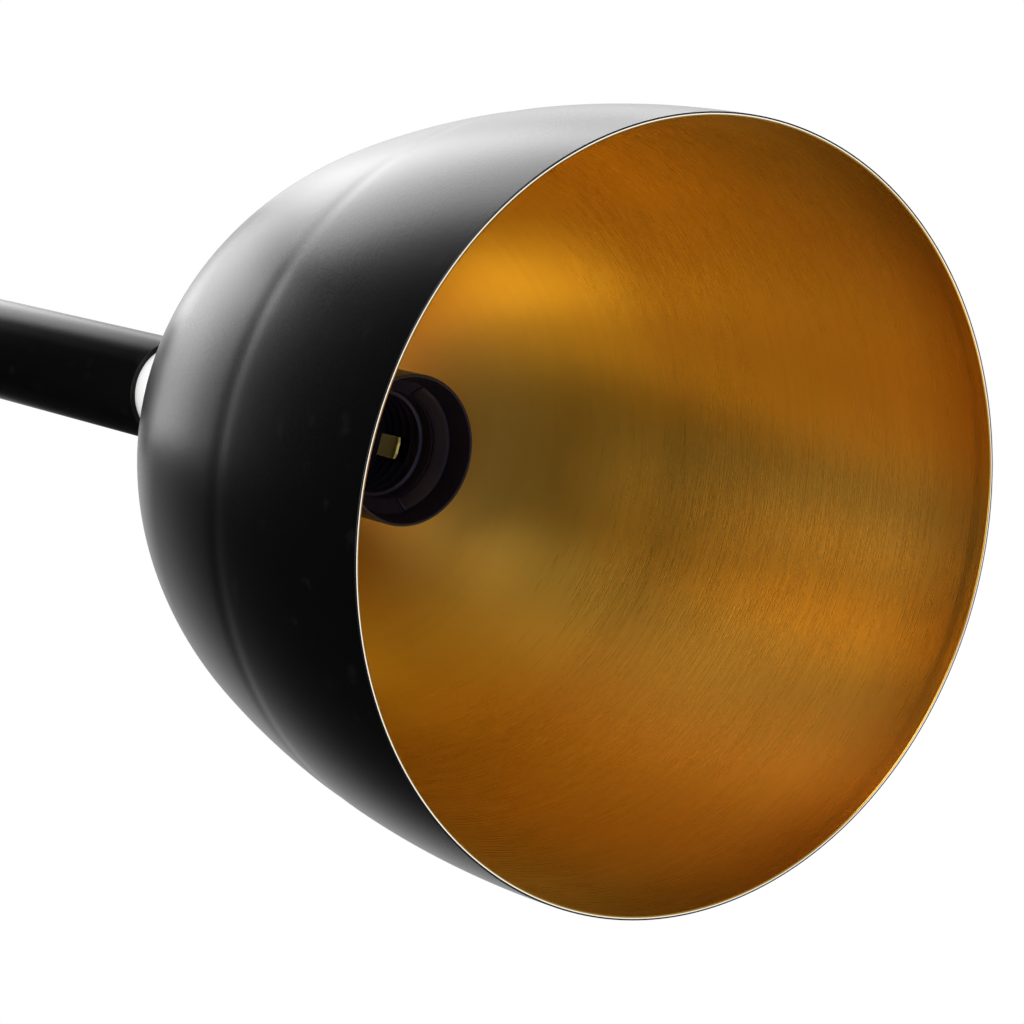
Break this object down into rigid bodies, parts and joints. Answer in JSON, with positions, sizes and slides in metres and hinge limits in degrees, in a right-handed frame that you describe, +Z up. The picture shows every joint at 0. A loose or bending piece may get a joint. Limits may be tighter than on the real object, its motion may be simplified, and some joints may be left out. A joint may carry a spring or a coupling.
{
  "type": "pendant lamp",
  "caption": "Pendant lamp: spun dome shade, black outside and gold inside, on a rigid tube with a tilting and swivelling knuckle, a canopy cup and a screw lampholder.",
  "frame": {"origin": "centre of the ceiling bracket, in the plane of the ceiling", "axes": "+Z up along the tube, away from the shade; the bracket's slots lie along X; the shade tilts about Y"},
  "size_m": [0.1905, 0.1906, 0.5645],
  "materials": {
    "black_satin_paint": "satin black powder coat on steel",
    "bright_nickel": "bright nickel plate on brass",
    "zinc_steel": "zinc plated steel",
    "black_steel": "blackened steel",
    "brass": "bare stamped brass",
    "tinned_copper": "tinned copper",
    "phenolic": "dark moulded phenolic, semi-gloss",
    "white_plastic": "moulded white polyamide or acetal",
    "nylon": "natural nylon",
    "brown_insulation": "brown insulation",
    "blue_insulation": "blue insulation",
    "earth_insulation": "green and yellow insulation"
  },
  "bodies": {
    "stem": {"ceiling_bracket": "zinc_steel", "top_nipple": "zinc_steel", "nipple_nut": "zinc_steel", "nipple_washer": "zinc_steel", "earth_screw": "brass", "earth_tag": "tinned_copper", "earth_wire": "earth_insulation", "terminal_block": "white_plastic", "terminal_screws": "zinc_steel", "stem_tube": "black_satin_paint", "tube_grub_screws": "black_steel", "tube_top_plug": "zinc_steel", "tube_end_plug": "white_plastic", "swivel_stop_pin": "zinc_steel", "swivel_slip_washers": "nylon", "stem_live_wire": "brown_insulation", "stem_neutral_wire": "blue_insulation"},
    "canopy": {"canopy_cup": "black_satin_paint", "canopy_collar": "black_satin_paint", "collar_screw": "black_steel"},
    "swivel": {"upper_knuckle": "bright_nickel", "swivel_stop_washer": "zinc_steel", "swivel_spring_washer": "zinc_steel", "swivel_retaining_ring": "black_steel", "tilt_slip_washer": "nylon", "pivot_screw": "bright_nickel", "pivot_spring_washer": "bright_nickel", "pivot_nut": "bright_nickel", "knuckle_live_wire": "brown_insulation", "knuckle_neutral_wire": "blue_insulation"},
    "head": {"lower_knuckle": "bright_nickel", "shade_saddle": "black_satin_paint", "shade": "black_satin_paint", "shade_washer": "zinc_steel", "shade_nut": "zinc_steel", "shade_nipple": "zinc_steel", "holder_cap": "phenolic", "holder_skirt": "phenolic", "thread_sleeve": "phenolic", "face_arc": "phenolic", "holder_core": "phenolic", "side_contact": "brass", "contact_clip": "brass", "holder_terminals": "brass", "holder_live_wire": "brown_insulation", "holder_neutral_wire": "blue_insulation"},
    "contact": {"centre_contact": "brass"}
  },
  "joints": [
    {"name": "canopy_slide", "type": "slide", "parent": "stem", "child": "canopy", "axis": [0, 0, -1], "range_m": [0, 0.24]},
    {"name": "shade_swivel", "type": "hinge", "parent": "stem", "child": "swivel", "pos_m": [0, 0, -0.33], "axis": [0, 0, 1], "range_deg": [-160, 160]},
    {"name": "shade_tilt", "type": "hinge", "parent": "swivel", "child": "head", "pos_m": [0, 0, -0.356], "axis": [0, 1, 0], "range_deg": [-90, 90]},
    {"name": "contact_flex", "type": "hinge", "parent": "head", "child": "contact", "pos_m": [0, -0.008, -0.41718], "axis": [1, 0, 0], "range_deg": [0, 15], "stiffness_Nm_per_rad": 0.1, "springref_deg": -2.86}
  ]
}
